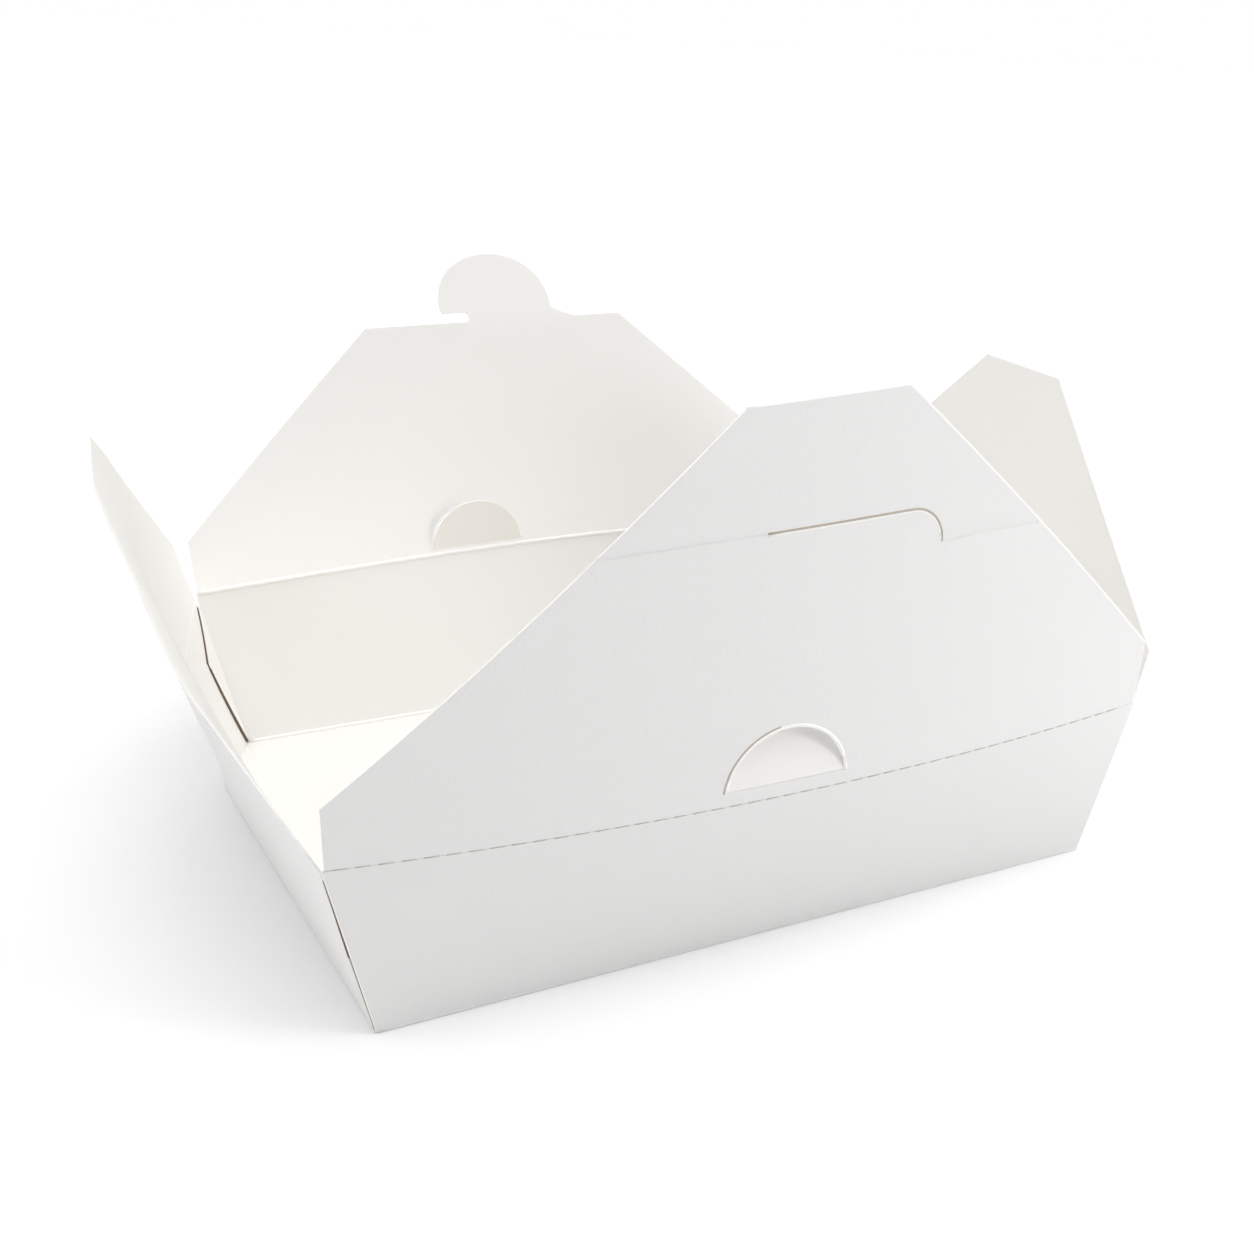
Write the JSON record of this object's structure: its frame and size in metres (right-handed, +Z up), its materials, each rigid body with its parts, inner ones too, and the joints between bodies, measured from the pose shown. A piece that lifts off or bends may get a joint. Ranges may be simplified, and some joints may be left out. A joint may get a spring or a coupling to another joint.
{
  "type": "takeout food box",
  "caption": "Open one-piece paperboard food carton: flared rectangular tray, hinged flap on each side, half-moon vents, lock slit and hook tab.",
  "frame": {"origin": "centre of the floor's underside, on the surface the box stands on", "axes": "+X along the tray's length, -Y to the front flap with the lock slit, +Z up"},
  "size_m": [0.2569, 0.2215, 0.1387],
  "materials": {
    "paperboard": "matte"
  },
  "bodies": {
    "tray": {"tray": "paperboard"},
    "front_flap": {"front_flap": "paperboard"},
    "back_flap": {"back_flap": "paperboard"},
    "left_flap": {"left_flap": "paperboard"},
    "right_flap": {"right_flap": "paperboard"}
  },
  "joints": [
    {"name": "front_fold", "type": "hinge", "parent": "tray", "child": "front_flap", "pos_m": [0, -0.08023, 0.0477], "axis": [-1, 0, 0], "range_deg": [-89, 91]},
    {"name": "back_fold", "type": "hinge", "parent": "tray", "child": "back_flap", "pos_m": [0, 0.08032, 0.0485], "axis": [1, 0, 0], "range_deg": [-55, 125]},
    {"name": "left_fold", "type": "hinge", "parent": "tray", "child": "left_flap", "pos_m": [-0.10707, 0, 0.0469], "axis": [0, 1, 0], "range_deg": [-67, 113]},
    {"name": "right_fold", "type": "hinge", "parent": "tray", "child": "right_flap", "pos_m": [0.10707, 0, 0.0469], "axis": [0, -1, 0], "range_deg": [-79, 101]}
  ]
}
